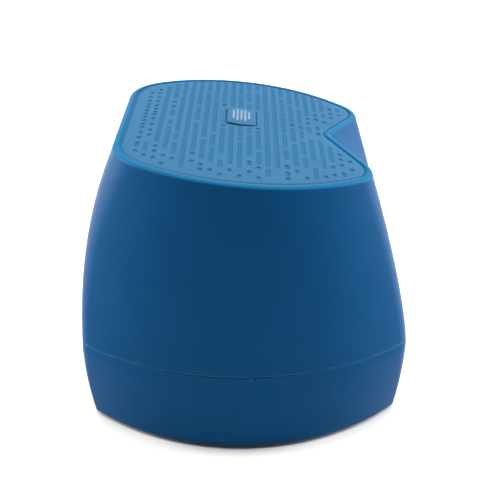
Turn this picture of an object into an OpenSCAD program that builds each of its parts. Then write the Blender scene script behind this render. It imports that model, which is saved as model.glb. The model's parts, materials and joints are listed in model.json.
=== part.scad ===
// Small portable loudspeaker with a sloping slotted face and a V notch in its front.
// Millimetres. +Z is up, +X is the front with the notch, -X is the flat back wall.
// The origin is the centre of the bottom of the bounding box.

/* [Show] */
// Node to draw: all, or the name of one node

/* [Face] */
// Height of the face at its centre, above the bottom edge of the case
face_height = 100.2; // [95:0.1:106]
// Fall of the face towards the front, as a slope
face_slope = 0.09; // [0.06:0.005:0.12]
// Fall of the crowned face 40 mm in front of and behind the centre
crown_along = 1.6; // [1:0.1:2.5]
// Fall of the crowned face at its flanks
crown_across = 0.5; // [0.2:0.1:1.5]
// Distance from the centre to the back edge of the face
face_back = 44; // [42:0.1:46]
// Distance from the centre to the two front tips of the face
face_front = 45.4; // [43:0.1:48]
// Half width of the face
face_half_width = 49.2; // [47:0.1:51]
// Radius of the curved flank edge of the face
face_flank_radius = 59.3; // [57:0.1:64]
// Depth of the V notch in the face
notch_depth = 17; // [12:0.1:19]
// Distance from the notch centre to the end of each notch side
notch_half_width = 32.6; // [30:0.1:36]
// Radius in the root of the notch
notch_root = 2.8; // [1:0.1:5]
// Corner radius at the back of the face
face_back_corner = 19.6; // [14:0.1:21]
// Corner radius at the front tips of the face
face_front_corner = 11.6; // [8:0.1:12.5]
// Radius of the rounded rim around the face
rim_radius = 1.5; // [1:0.1:2]

/* [Body] */
// Half length of the body at its waist
waist_half_length = 58; // [56:0.1:61]
// Half width of the body at its waist
waist_half_width = 52.2; // [51:0.1:56]
// Height of the waist above the bottom edge
waist_height = 27.6; // [25:0.1:29]
// Radius of the flank at the waist
waist_flank_radius = 91.8; // [86:0.1:100]
// Back corner radius at the waist
waist_back_corner = 6.4; // [5:0.1:9]
// Front corner radius at the waist
waist_front_corner = 9.2; // [7:0.1:11]
// Distance from the centre to the back of the bottom edge
base_back = 54.9; // [54:0.1:57]
// Distance from the centre to the front of the bottom edge
base_front = 55.7; // [54:0.1:57.5]
// Half width of the bottom edge
base_half_width = 51.3; // [50:0.1:55]
// Radius of the flank at the bottom edge
base_flank_radius = 82.9; // [80:0.1:92]
// Radius of the four corners at the bottom edge
base_corner = 2; // [1.5:0.1:4]
// Height of the parting line above the bottom edge
seam_height = 30.5; // [30:0.1:33]
// Wall thickness of both shells
wall = 2.5; // [2.3:0.1:2.6]
// Height of the rubber feet below the case
foot_height = 1.5; // [1:0.1:2.5]

/* [Grille] */
// Pitch of the slot columns
slot_pitch = 3.0; // [2.8:0.1:3.2]
// Width of a slot
slot_width = 1.6; // [1.2:0.1:1.8]
// Thickness of the grille panel
panel_thickness = 0.6; // [0.6:0.1:1.4]
// Gap between the panel and the rim
panel_gap = 0.7; // [0.5:0.1:0.9]
// Depth of the groove between the panel and the rim
groove_depth = 0.5; // [0.3:0.1:0.6]
// Badge size along the body
badge_length = 10; // [9:0.1:10.2]
// Badge size across the body
badge_width = 14.6; // [13:0.1:14.8]
// Angle at which the badge leans down towards the front, in degrees
badge_lean = 7; // [5:0.5:8]

/* [Driver] */
// Position of the driver axis along the body
driver_x = -6; // [-7:0.5:-5]
// Height of the underside of the driver flange above the floor
driver_z = 82.8; // [82:0.1:83]

/* [Controls] */
// Height of the key row above the floor
key_z = 45; // [44.5:0.1:45.5]
// Spacing of the four keys
key_pitch = 11; // [10.8:0.1:11.2]
// Height of the port row above the floor
port_z = 17.5; // [17:0.1:18]

/* [Hidden] */
$fn = 32;
zb = foot_height;
flank_x = -2.8;
floor_z = zb + wall;
seam_z = zb + seam_height;
waist_z = zb + waist_height;
edge_top = zb + face_height - rim_radius;
rise = edge_top - waist_z;
seam_u = (seam_z - waist_z) / rise;
rim_in = rim_radius + 0.8;
panel_in = rim_in + panel_gap;
ledge_depth = panel_thickness + 0.7;
board_x = -48.1;
board_thickness = 1.6;
plate_x = -55.4;
key_half = (4 - 1) / 2;
nib_x = 1.7;
nib_radius = 0.6;
case_posts = [[-46.5, 27], [46, 23.5]];
baffle_posts = [[-34, 32], [33, 30]];
badge_x = -2.7;
badge_y = 6;
badge_z = face_z(badge_x, badge_y) - 0.2;
badge_foot = panel_thickness - 0.05;
bar_pitch = 1.35;
bar_width = 0.75;
bar_lengths = [8, 11.4, 9.2, 11, 7];
screw_circle = 28.8;
cell_x = 18;
cell_z = floor_z + 11.4;
plug_y = -2;
jack_y = 9.5;
lamp_y = 17;
blue = [0.10, 0.38, 0.58];
dark_blue = [0.05, 0.25, 0.42];
black = [0.08, 0.08, 0.09];
steel = [0.62, 0.63, 0.65];
copper = [0.72, 0.42, 0.22];

// ---- outline of one level: back, front, half width, flank radius, notch depth and half width, corners ----
function mix(a, b, t, p = 1) = a + (b - a) * pow(t, p);
function upper(u) = [
    mix(-waist_half_length, -face_back, u, 2.27),
    mix(waist_half_length, face_front, u, 1.44),
    mix(waist_half_width, face_half_width, u, 1.29),
    mix(waist_flank_radius, face_flank_radius, u),
    mix(0.2, notch_depth, u),
    mix(34.5, notch_half_width, u),
    mix(waist_back_corner, face_back_corner, u),
    mix(waist_front_corner, face_front_corner, u),
    mix(20, notch_root, u)];
function lower(v) = [
    mix(-waist_half_length, -base_back, v, 2.1),
    mix(waist_half_length, base_front, v, 2.17),
    mix(waist_half_width, base_half_width, v, 2.1),
    mix(waist_flank_radius, base_flank_radius, v),
    0.2, 34.5,
    mix(waist_back_corner, base_corner, v),
    mix(waist_front_corner, base_corner, v),
    20];
function level(z) = z < waist_z ? lower((waist_z - z) / waist_height) : upper((z - waist_z) / rise);

function arc(cx, cy, r, a0, a1, n) =
    [for (i = [0 : n - 1]) let (a = a0 + (a1 - a0) * i / n) [cx + r * cos(a), cy + r * sin(a)]];
function line(x0, y0, x1, y1, n) =
    [for (i = [0 : n - 1]) [x0 + (x1 - x0) * i / n, y0 + (y1 - y0) * i / n]];
function half_outline(s, d, q) = let (
    back = s[0] + d,
    r = s[3] - d,
    yc = s[2] - s[3],
    rb = max(s[6] - d, 0.4),
    rf = max(s[7] - d, 0.4),
    rn = s[8] + d,
    n = sqrt(s[4] * s[4] + s[5] * s[5]),
    ux = s[4] / n,
    uy = s[5] / n,
    px = s[1] - s[4] - uy * d,
    py = ux * d,
    xb = back + rb,
    yb = yc + sqrt((r - rb) * (r - rb) - (xb - flank_x) * (xb - flank_x)),
    a1 = atan2(yb - yc, xb - flank_x),
    ex = px - uy * rf - flank_x,
    ey = py + ux * rf - yc,
    b = ex * ux + ey * uy,
    c = ex * ex + ey * ey - (r - rf) * (r - rf),
    t = -b + sqrt(max(b * b - c, 0)),
    fx = px - uy * rf + t * ux,
    fy = py + ux * rf + t * uy,
    a2 = atan2(fy - yc, fx - flank_x),
    a3 = atan2(-ux, uy),
    root = px + (rn - py * ux) / uy,
    a4 = atan2(ux, -uy))
    concat(
        line(back, 0, back, yb, q[0]),
        arc(xb, yb, rb, 180, a1, q[1]),
        arc(flank_x, yc, r, a1, a2, q[2]),
        arc(fx, fy, rf, a2, a3, q[3]),
        line(fx + uy * rf, fy - ux * rf, root - uy * rn, ux * rn, q[4]),
        arc(root, 0, rn, a4, 180, q[5]),
        [[root - rn, 0]]);
fine = [4, 4, 12, 4, 5, 4];
rough = [2, 2, 6, 2, 2, 2];
function outline(s, d, q = fine) = let (h = half_outline(s, d, q), n = len(h))
    concat(h, [for (i = [n - 2 : -1 : 1]) [h[i][0], -h[i][1]]]);

// ---- the crowned, sloping face ----
function face_z(x, y) = zb + face_height - face_slope * x
    - crown_along * pow(abs(x) / 40, 2) - crown_across * pow(abs(y) / 42, 3.5);
edge_z = [for (p = outline(upper(1), 0)) face_z(p[0], p[1])];
function flat_ring(z, d, q = fine) = [for (p = outline(level(z), d, q)) [p[0], p[1], z]];
function wall_ring(w, d) = let (o = outline(upper(seam_u + (1 - seam_u) * w), d))
    [for (i = [0 : len(o) - 1])
        [o[i][0], o[i][1], seam_z + 0.2 + w * (edge_z[i] - rim_radius - seam_z - 0.2)]];
function rim_ring(d, dz) = let (o = outline(upper(1), d))
    [for (i = [0 : len(o) - 1]) [o[i][0], o[i][1], edge_z[i] + dz]];

// ---- solids from stacked rings ----
function strip(a, b, n) = [for (i = [0 : n - 1], k = [0 : 1]) let (j = (i + 1) % n)
    k == 0 ? [a + i, a + j, b + j] : [a + i, b + j, b + i]];
function fan(c, a, n, up) = [for (i = [0 : n - 1]) let (j = (i + 1) % n)
    up ? [c, a + j, a + i] : [c, a + i, a + j]];
function join(lists) = [for (a = lists, b = a) b];

module ring_loop(rings) {
    n = len(rings[0]);
    m = len(rings);
    polyhedron(join(rings), join([for (k = [0 : m - 1]) strip(k * n, ((k + 1) % m) * n, n)]));
}

module ring_stack(rings, cx) {
    n = len(rings[0]);
    m = len(rings);
    points = concat(join(rings), [[cx, 0, rings[0][0][2]], [cx, 0, rings[m - 1][0][2]]]);
    sides = join([for (k = [0 : m - 2]) strip(k * n, (k + 1) * n, n)]);
    polyhedron(points, concat(fan(m * n, 0, n, false), sides, fan(m * n + 1, (m - 1) * n, n, true)));
}

// ---- leads: a round tube along a smooth curve ----
function curve(p, t) = len(p) == 1 ? p[0]
    : curve([for (i = [0 : len(p) - 2]) p[i] * (1 - t) + p[i + 1] * t], t);
function tube_ring(p, t, r) = let (
    d = curve(p, min(t + 0.01, 1)) - curve(p, max(t - 0.01, 0)),
    w = d / norm(d),
    side = cross(w, [0, 0, 1]),
    u = side / norm(side),
    v = cross(u, w))
    [for (a = [0 : 36 : 324]) curve(p, t) + r * (cos(a) * u + sin(a) * v)];

module wire(path, r) {
    n = 10;
    m = 15;
    rings = [for (k = [0 : m - 1]) tube_ring(path, k / (m - 1), r)];
    sides = join([for (k = [0 : m - 2]) strip(k * n, (k + 1) * n, n)]);
    start = [for (i = [0 : n - 1]) i];
    end = [for (i = [n - 1 : -1 : 0]) (m - 1) * n + i];
    polyhedron(join(rings), concat(sides, [start, end]));
}

module along_x(x, y, z) {
    translate([x, y, z])
        rotate([0, 90, 0])
            children();
}

module four(posts) {
    for (p = posts, s = [-1, 1])
        translate([p[0], s * p[1], 0])
            children();
}

module pill(w, h) {
    square([w - h, h], center = true);
    translate([-(w - h) / 2, 0])
        circle(d = h);
    translate([(w - h) / 2, 0])
        circle(d = h);
}

module pill_x(x0, x1, y, z, w, h) {
    translate([x0, y, z])
        rotate([90, 0, 90])
            linear_extrude(x1 - x0)
                pill(w, h);
}

// ---- case ----
module upper_shell() {
    color(blue)
        difference() {
            union() {
                ring_loop(concat(
                    [for (k = [0 : 11]) wall_ring(k / 11, 0)],
                    [for (a = [30, 60, 90]) rim_ring(rim_radius * (1 - cos(a)), rim_radius * (sin(a) - 1))],
                    [rim_ring(rim_in, 0), rim_ring(rim_in, -groove_depth)],
                    [rim_ring(panel_in - 0.1, -groove_depth), rim_ring(panel_in - 0.1, -ledge_depth)],
                    [rim_ring(rim_in + 3, -ledge_depth), rim_ring(rim_in + 3, -ledge_depth - 1.6)],
                    [for (w = [0.88, 0.74, 0.6, 0.45, 0.3, 0.15, 0.05, 0]) wall_ring(w, wall)]));
                four(case_posts)
                    translate([0, 0, seam_z + 0.8])
                        cylinder(r = 3.6, h = 15);
                for (p = case_posts, s = [-1, 1])
                    translate([p[0] - 0.9, s * (p[1] + 5.6) - 5.6, seam_z + 3.4])
                        cube([1.8, 11.2, 11.4]);
                for (p = baffle_posts, s = [-1, 1])
                    translate([p[0], s * p[1], driver_z - 0.8])
                        cylinder(r = 3, h = face_z(p[0], p[1]) - ledge_depth - 0.5 - driver_z + 0.8);
            }
            four(case_posts)
                translate([0, 0, seam_z])
                    cylinder(r = 1.4, h = 11);
            four(baffle_posts)
                translate([0, 0, driver_z - 2])
                    cylinder(r = 1.1, h = 7.5);
            for (k = [0 : 3])
                pill_x(-64, -50, (k - key_half) * key_pitch, key_z, 9.9, 6.7);
        }
}

module base_shell() {
    color(blue)
        difference() {
            union() {
                ring_stack([
                    flat_ring(zb, 0.3),
                    flat_ring(zb + 0.3, 0),
                    flat_ring(zb + 5, 0),
                    flat_ring(zb + 10, 0),
                    flat_ring(zb + 15, 0),
                    flat_ring(zb + 20, 0),
                    flat_ring(zb + 25, 0),
                    flat_ring(seam_z - 0.2, 0),
                    flat_ring(seam_z - 0.2, wall + 0.2),
                    flat_ring(seam_z + 3, wall + 0.2),
                    flat_ring(seam_z + 3, wall + 1.6),
                    flat_ring(seam_z - 5, wall + 1.6),
                    flat_ring(seam_z - 7, wall),
                    flat_ring(zb + 15, wall),
                    flat_ring(zb + 8, wall),
                    flat_ring(floor_z + 1.5, wall),
                    flat_ring(floor_z, wall + 1.5)], 0);
                four(case_posts)
                    translate([0, 0, floor_z - 0.5])
                        cylinder(r = 4.4, h = seam_z + 0.3 - floor_z + 0.5);
                for (s = [-1, 1])
                    translate([-51.8, s * 21.8 - 1.8, floor_z - 0.5])
                        cube([8, 3.6, 22]);
                for (s = [-1, 1])
                    translate([nib_x, s * (waist_half_width - 0.1), seam_z - 0.4])
                        sphere(r = nib_radius, $fn = 16);
            }
            four(case_posts) {
                cylinder(r = 1.7, h = 60);
                cylinder(r = 3.2, h = 8);
                translate([0, 0, -1])
                    cylinder(r = 6.15, h = 1 + zb + 0.7);
            }
            translate([-62, -20.15, port_z - 7.9])
                cube([9, 40.3, 15.8]);
            translate([board_x - 0.1, -20.6, floor_z + 4.9])
                cube([1.8, 41.2, 40]);
            translate([-25, -16, zb - 1])
                cube([50, 32, 1.4]);
        }
}

module seam_gasket() {
    color(black)
        ring_loop([
            flat_ring(seam_z - 0.2, 0.3),
            flat_ring(seam_z + 0.2, 0.3),
            flat_ring(seam_z + 0.2, wall - 0.1),
            flat_ring(seam_z - 0.2, wall - 0.1)]);
}

module baffle_plate() {
    color(black)
        difference() {
            translate([0, 0, driver_z - 3.8])
                linear_extrude(3)
                    polygon(outline(level(driver_z + 5), wall + 0.5));
            translate([driver_x, 0, 0])
                cylinder(r = 25.4, h = 200, $fn = 96);
            driver_holes()
                cylinder(r = 1.1, h = 200);
            four(baffle_posts)
                cylinder(r = 1.3, h = 200);
        }
}

module driver_holes() {
    for (a = [0 : 90 : 270])
        translate([driver_x, 0, 0])
            rotate([0, 0, a])
                translate([screw_circle, 0, 0])
                    children();
}

module rubber_feet() {
    color(black)
        four(case_posts)
            rotate_extrude($fn = 48)
                polygon([[0, 0], [5.2, 0], [6, 0.8], [6, zb + 0.7], [0, zb + 0.7]]);
}

module label_plate() {
    color([0.75, 0.76, 0.78])
        translate([-24.8, -15.8, zb + 0.1])
            cube([49.6, 31.6, 0.3]);
}

module case_screws() {
    color(steel)
        four(case_posts)
            difference() {
                union() {
                    translate([0, 0, 6])
                        cylinder(r = 2.9, h = 2);
                    translate([0, 0, 7.5])
                        cylinder(r = 1.4, h = seam_z + 2);
                }
                translate([0, 0, 5])
                    cylinder(r = 1.4, h = 2, $fn = 6);
            }
}

module small_screw() {
    difference() {
        union() {
            cylinder(r1 = 2, r2 = 1.6, h = 1.4);
            translate([0, 0, -5.2])
                cylinder(r = 1.1, h = 5.4);
        }
        translate([0, 0, 0.7])
            cylinder(r = 0.8, h = 2, $fn = 6);
    }
}

module small_screws() {
    color(steel) {
        translate([0, 0, driver_z + 1.2])
            driver_holes()
                small_screw();
        four(baffle_posts)
            translate([0, 0, driver_z - 3.8])
                rotate([180, 0, 0])
                    small_screw();
    }
}

// ---- grille ----
// Flat cells between the stations: the crown is a sum of one curve along and one across the body
module crowned_block(z_off, t) {
    xs = [-50, -38, -26, -13, 0, 13, 26, 38, 50];
    ys = [-53, -46, -38, -26, 26, 38, 46, 53];
    nx = len(xs) - 1;
    ny = len(ys) - 1;
    m = (nx + 1) * (ny + 1);
    top = [for (x = xs, y = ys) [x, y, face_z(x, y) + z_off]];
    low = [for (p = top) [p[0], p[1], p[2] - t]];
    up_faces = [for (i = [0 : nx - 1], j = [0 : ny - 1]) let (a = i * (ny + 1) + j, b = a + ny + 1)
        [a, a + 1, b + 1, b]];
    low_faces = [for (f = up_faces) [f[3] + m, f[2] + m, f[1] + m, f[0] + m]];
    rim_x0 = [for (j = [0 : ny]) j];
    rim_y1 = [for (i = [1 : nx]) i * (ny + 1) + ny];
    rim_x1 = [for (j = [ny - 1 : -1 : 0]) nx * (ny + 1) + j];
    rim_y0 = [for (i = [nx - 1 : -1 : 1]) i * (ny + 1)];
    loop = concat(rim_x0, rim_y1, rim_x1, rim_y0);
    n = len(loop);
    sides = [for (i = [0 : n - 1]) let (a = loop[i], b = loop[(i + 1) % n]) [a, a + m, b + m, b]];
    polyhedron(concat(top, low), concat(up_faces, low_faces, sides));
}

module slot(x, y0, y1) {
    translate([x - slot_width / 2, y0])
        square([slot_width, y1 - y0]);
}

module dot(x, y) {
    translate([x, y])
        rotate(22.5)
            circle(d = 1.08 * slot_width, $fn = 8);
}

// One row per column: its number from the centre, then its round holes and its slots across the body
slot_columns = [
    [-12, [-29, [-25.5, -22], -18, -13.5, -9, -6, -2.5, 1, 4, 7, 10.5, 13.5, 17, 21.5, 26]],
    [-11, [-32, [-28.5, -22], -15.5, -11, -6, -0.5, 3.5, 6, 9, 12.5, 17, 21.5, 26, 30]],
    [-10, [-33.5, -28.5, -24.5, [-21, 34.5]]],
    [-9, [-37.5, -31.5, [-26.5, -7.5], [-5, -1], [3, 8.5], [11, 14], [16, 18.5], [21, 38]]],
    [-8, [-33.5, [-29.5, -21], [-19, -13.5], [-11.5, 23.5], [25.5, 30], [31.5, 39.5]]],
    [-7, [[-39.5, 41.5]]],
    [-6, [-34.5, [-30, -27.5], [-26, -3], [0.5, 13], [15.5, 43]]],
    [-5, [[-41, -39], [-38, -35.5], [-32.5, -17], [-14.5, 29], [31, 43.5]]],
    [-4, [-40, [-34.5, -23], [-21, -12], [-10, 22], [23.5, 44]]],
    [-3, [-42.5, [-37, -32.5], [-27.5, -5.5], -3.2, [16, 18.5], [19.5, 44]]],
    [-2, [-39, [-34.5, -3], [16, 45]]],
    [-1, [-42.5, [-37, -17.5], [-15.5, -3], [16, 29.5], [31, 45]]],
    [0, [-39, [-34, -31], [-27, -10], [-8, -3], [15.5, 20.5], [23.5, 34], [36, 44]]],
    [1, [-42.5, -35.5, [-33, -24], [-21, -5.2], -3.2, [15.5, 34.5], [37.5, 44.5]]],
    [2, [[-41, -36], [-34, 44]]],
    [3, [[-34.5, 43.5]]],
    [4, [[-42, -40], [-39, -36], [-34, -31], [-27, -19.5], [-17, -6], [-4, 15], [17, 30], [32, 43]]],
    [5, [-35, [-31.5, -13.5], [-11.5, 1], [2.5, 5.5], [7, 23], [25, 42]]],
    [6, [-39, [-31.5, -24], [-21, -10], [-7, -1], [1, 4], [6, 21], [23.5, 41]]],
    [7, [[-38.5, -31], [-25, -7.5], [-1, 4], [7, 9], 12.5, [15.5, 39.5]]],
    [8, [-36, [-30, -7], [-3, 0], [2.5, 6], [11, 14], [15.5, 18.5], [21, 38]]],
    [9, [-34, -28, [-24, -11.5], [10, 12.5], [16, 20.5], [22.5, 35.5]]],
    [10, [[-34, -31], -25.5, -21, -17, 17, [20.5, 22.5], [24.5, 28]]],
    [11, [[-29, -27], -21.5, [20.5, 22], [24.5, 28.5]]]];

module slot_pattern() {
    for (c = slot_columns, y = c[1])
        if (is_list(y))
            slot(c[0] * slot_pitch, y[0], y[1]);
        else
            dot(c[0] * slot_pitch, y);
}

module badge_shape(grow) {
    square([badge_length + 2 * grow, badge_width + 2 * grow], center = true);
}

module grille_panel() {
    color(blue)
        intersection() {
            crowned_block(-0.2, panel_thickness);
            translate([0, 0, 60])
                linear_extrude(60)
                    difference() {
                        polygon(outline(upper(1), panel_in));
                        slot_pattern();
                        translate([badge_x, badge_y])
                            badge_shape(0.4);
                    }
        }
}

module grille_cloth() {
    color(dark_blue)
        intersection() {
            crowned_block(-0.2 - panel_thickness, 0.4);
            translate([0, 0, 60])
                linear_extrude(60)
                    polygon(outline(upper(1), panel_in + 0.2, rough));
        }
}

// The badge leans with the face
module on_badge(z) {
    translate([badge_x, badge_y, badge_z])
        rotate([0, badge_lean, 0])
            translate([0, 0, z])
                children();
}

module badge_plate() {
    color(blue)
        difference() {
            union() {
                on_badge(-0.4)
                    linear_extrude(1)
                        badge_shape(0);
                on_badge(-badge_foot)
                    cylinder(r = 1.4, h = badge_foot);
            }
            on_badge(0.4)
                linear_extrude(1)
                    bars();
        }
}

module bars() {
    for (k = [-2 : 2])
        translate([k * bar_pitch, 0.9])
            square([bar_width, bar_lengths[k + 2]], center = true);
}

module badge_mark() {
    color([0.92, 0.93, 0.95])
        on_badge(0.4)
            linear_extrude(0.26)
                bars();
}

// ---- driver ----
module at_driver() {
    translate([driver_x, 0, driver_z])
        children();
}

module ring_of(r0, r1, h, z) {
    translate([0, 0, z])
        difference() {
            cylinder(r = r1, h = h, $fn = 96);
            translate([0, 0, -1])
                cylinder(r = r0, h = h + 2, $fn = 96);
        }
}

module driver_basket() {
    color(black)
        at_driver()
            difference() {
                rotate_extrude($fn = 96)
                    polygon([[24.2, 0], [31, 0], [31, 1.2], [24.6, 1.2], [24.2, 0.6], [17, -11.6],
                        [14.2, -11.6], [14.2, -12.6], [7.6, -12.6], [7.6, -14], [18, -14],
                        [18.4, -13.2], [24.2, -1.4]]);
                for (a = [45 : 90 : 315])
                    rotate([0, 0, a])
                        translate([15.5, -6, -11])
                            cube([12, 12, 8]);
                for (a = [0 : 90 : 270])
                    rotate([0, 0, a])
                        translate([screw_circle, 0, -1])
                            cylinder(r = 1.1, h = 4);
            }
}

module driver_gasket() {
    color(black)
        at_driver()
            difference() {
                ring_of(24.6, 31, 0.8, -0.8);
                for (a = [0 : 90 : 270])
                    rotate([0, 0, a])
                        translate([screw_circle, 0, -2])
                            cylinder(r = 1.3, h = 4);
            }
}

module driver_surround() {
    color(black)
        at_driver()
            rotate_extrude($fn = 96)
                polygon(concat(
                    [[26.6, 1.2], [26.6, 1.8], [24.7, 1.8]],
                    [for (a = [15 : 15 : 165]) [22.4 + 2.3 * cos(a), 1.5 + 2.3 * sin(a)]],
                    [[20.1, 1.8], [18.4, 1.8], [18.4, 1.3], [20.5, 1.3]],
                    [for (a = [165 : -15 : 15]) [22.4 + 1.9 * cos(a), 1.5 + 1.9 * sin(a)]],
                    [[24.4, 1.2]]));
}

module driver_cone() {
    color([0.16, 0.17, 0.18])
        at_driver()
            rotate_extrude($fn = 96)
                polygon([[6.6, -10], [6.6, -9.4], [12.5, -4.6], [18.2, 1.3], [20.2, 1.3], [20.2, 0.9],
                    [18.5, 0.9], [12.8, -5.1], [7.0, -10]]);
}

module dust_cap() {
    color([0.12, 0.12, 0.13])
        at_driver()
            rotate_extrude($fn = 96)
                polygon(concat(
                    [for (a = [0 : 10 : 90]) [8.6 * cos(a), -7.7 + 3.4 * sin(a)]],
                    [for (a = [90 : -10 : 0]) [8.1 * cos(a), -7.7 + 2.9 * sin(a)]]));
}

module driver_spider() {
    color([0.75, 0.58, 0.28])
        at_driver()
            rotate_extrude($fn = 96)
                polygon([[16.4, -11.6], [16.4, -11.2], [14.0, -11.2], [13.2, -10.6], [12.2, -11.6],
                    [11.2, -10.6], [10.2, -11.6], [9.2, -10.6], [8.2, -11.7], [7.1, -11.7],
                    [7.1, -12.1], [8.2, -12.1], [9.2, -11.0], [10.2, -12.0], [11.2, -11.0],
                    [12.2, -12.0], [13.2, -11.0], [14.0, -11.6]]);
}

module voice_coil() {
    color(copper)
        at_driver()
            rotate_extrude($fn = 96)
                polygon([[6.3, -22], [6.9, -22], [6.9, -13.5], [6.6, -13.5], [6.6, -9], [6.3, -9]]);
}

module driver_top_plate() {
    color(steel)
        at_driver()
            ring_of(7.4, 18, 3.5, -17.5);
}

module driver_magnet() {
    color([0.2, 0.2, 0.21])
        at_driver()
            ring_of(9.5, 19.5, 9.5, -27);
}

module driver_yoke() {
    color(steel)
        at_driver() {
            translate([0, 0, -30.5])
                cylinder(r = 18, h = 3.5, $fn = 96);
            translate([0, 0, -27])
                cylinder(r = 5.8, h = 12.6, $fn = 96);
        }
}

module driver_terminals() {
    color(copper)
        at_driver()
            for (s = [-1, 1])
                translate([-22.4, s * 3 - 0.9, -15.5])
                    cube([0.8, 1.8, 6]);
}

// ---- battery ----
module battery_cell() {
    color([0.25, 0.55, 0.35])
        translate([cell_x, 0, cell_z])
            rotate([90, 0, 0]) {
                translate([0, 0, -32])
                    cylinder(r = 9.2, h = 64, $fn = 64);
                translate([0, 0, 32])
                    cylinder(r = 3, h = 1);
            }
}

module battery_cradle() {
    color(black)
        difference() {
            translate([cell_x - 12, -30, floor_z])
                cube([24, 60, 9]);
            translate([cell_x, 40, cell_z])
                rotate([90, 0, 0])
                    cylinder(r = 9.3, h = 80, $fn = 64);
            translate([0, -24, floor_z + 1.6])
                cube([40, 14, 20]);
            translate([0, 10, floor_z + 1.6])
                cube([40, 14, 20]);
        }
}

module battery_leads() {
    for (s = [-1, 1])
        color(s < 0 ? black : [0.7, 0.1, 0.1])
            wire([[cell_x + 3 * s, -34, cell_z], [14 + 2 * s, -37, floor_z + 14], [-10, -36 - s, floor_z + 18],
                [-30, -26 - s, 27], [-37, -14 + 1.2 * s, 31], [-41.6, -14 + 1.2 * s, 32]], 0.6);
}

module battery_header() {
    header(-14, 32);
}

module header(y, z) {
    color([0.9, 0.89, 0.84])
        translate([board_x + board_thickness, y - 3.5, z - 2.5])
            difference() {
                cube([5.6, 7, 5]);
                translate([1.2, 0.8, 0.8])
                    cube([6, 5.4, 3.4]);
            }
}

// ---- electronics ----
module main_board() {
    color([0.05, 0.32, 0.18])
        difference() {
            translate([board_x, -20.5, floor_z + 5])
                cube([board_thickness, 41, 46]);
            translate([board_x - 1, jack_y - 4.2, port_z - 4.2])
                cube([4, 8.4, 8.4]);
        }
}

module board_chips() {
    color(black) {
        translate([board_x + board_thickness, -4, 36])
            cube([1, 8, 8]);
        translate([board_x + board_thickness, 9, 26])
            cube([0.9, 6, 6]);
        translate([board_x + board_thickness, -18, 20])
            cube([0.9, 5, 5]);
        translate([board_x - 0.8, lamp_y - 0.8, port_z - 0.8])
            cube([0.8, 1.6, 1.6]);
    }
}

module power_coils() {
    for (z = [44, 51])
        translate([board_x + board_thickness, 12, z - 3])
            color([0.25, 0.25, 0.27])
                difference() {
                    cube([3, 6, 6]);
                    translate([2.2, 3, 3])
                        rotate([0, 90, 0])
                            ring_of(1.6, 2.2, 3, 0);
                }
}

module capacitors() {
    for (y = [-3, 5])
        color([0.3, 0.3, 0.34])
            along_x(board_x + board_thickness, y, 50)
                cylinder(r = 3.1, h = 7, $fn = 48);
}

module radio_module() {
    color([0.78, 0.79, 0.8])
        translate([board_x + board_thickness, -20, 37])
            difference() {
                cube([2.2, 12, 15]);
                translate([1.9, 1, 1])
                    cube([1, 10, 10]);
            }
}

module speaker_leads() {
    for (s = [-1, 1])
        color(s < 0 ? black : [0.7, 0.1, 0.1])
            wire([[driver_x - 22, 3 * s, driver_z - 15.75], [driver_x - 24, 3 * s, 61], [-35, 8 + 1.5 * s, 48],
                [-38, 14 + 1.2 * s, 40], [-41.6, 14 + 1.2 * s, 38]], 0.5);
}

module speaker_header() {
    header(14, 38);
}

module switch_bodies() {
    color([0.14, 0.14, 0.15])
        for (k = [0 : 3])
            translate([board_x - 3.5, (k - key_half) * key_pitch, key_z])
                difference() {
                    translate([0, -3, -3])
                        cube([3.5, 6, 6]);
                    translate([-1, 0, 0])
                        rotate([0, 90, 0])
                            cylinder(r = 1.75, h = 2.5);
                }
}

module key_cap(k) {
    y = (k - key_half) * key_pitch;
    color([0.09, 0.34, 0.53]) {
        difference() {
            pill_x(-57.95, board_x - 6.2, y, key_z, 9.3, 6.1);
            key_symbol(k, y);
        }
        pill_x(board_x - 6.2, board_x - 4.7, y, key_z, 10.6, 8.2);
        along_x(board_x - 4.7, y, key_z)
            cylinder(r = 2, h = 0.35);
    }
}

module key_symbol(k, y) {
    translate([-59, y, key_z])
        rotate([90, 0, 90])
            linear_extrude(1.4) {
                if (k == 0)
                    circle(d = 2.2);
                if (k == 1)
                    square([2.6, 0.6], center = true);
                if (k == 2)
                    polygon([[1.1, 1.3], [1.1, -1.3], [-1.3, 0]]);
                if (k == 3) {
                    square([2.6, 0.6], center = true);
                    square([0.6, 2.6], center = true);
                }
            }
}

module key_plunger(k) {
    color([0.85, 0.85, 0.83])
        along_x(board_x - 4.35, (k - key_half) * key_pitch, key_z)
            cylinder(r = 1.6, h = 1.5);
}

module key_mode() {
    key_cap(0);
}

module key_minus() {
    key_cap(1);
}

module key_play() {
    key_cap(2);
}

module key_plus() {
    key_cap(3);
}

module plunger_mode() {
    key_plunger(0);
}

module plunger_minus() {
    key_plunger(1);
}

module plunger_play() {
    key_plunger(2);
}

module plunger_plus() {
    key_plunger(3);
}

// ---- ports ----
module port_plate() {
    color(black)
        difference() {
            union() {
                translate([plate_x, -20, port_z - 7.75])
                    cube([2, 40, 15.5]);
                translate([plate_x + 1.9, -22.5, port_z - 9.5])
                    cube([1.1, 45, 19.3]);
            }
            pill_x(plate_x - 1, plate_x + 4, plug_y, port_z, 9.5, 3.8);
            along_x(plate_x - 1, jack_y, port_z)
                cylinder(r = 3.1, h = 5);
            translate([plate_x - 1, -15.8, port_z - 1.25])
                cube([5, 5.6, 2.5]);
            along_x(plate_x - 1, lamp_y, port_z)
                cylinder(r = 1.05, h = 5);
        }
}

module charge_port() {
    color(steel)
        difference() {
            pill_x(plate_x + 0.2, board_x, plug_y, port_z, 8.9, 3.2);
            pill_x(plate_x - 1, board_x - 1, plug_y, port_z, 8.3, 2.6);
        }
}

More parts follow.
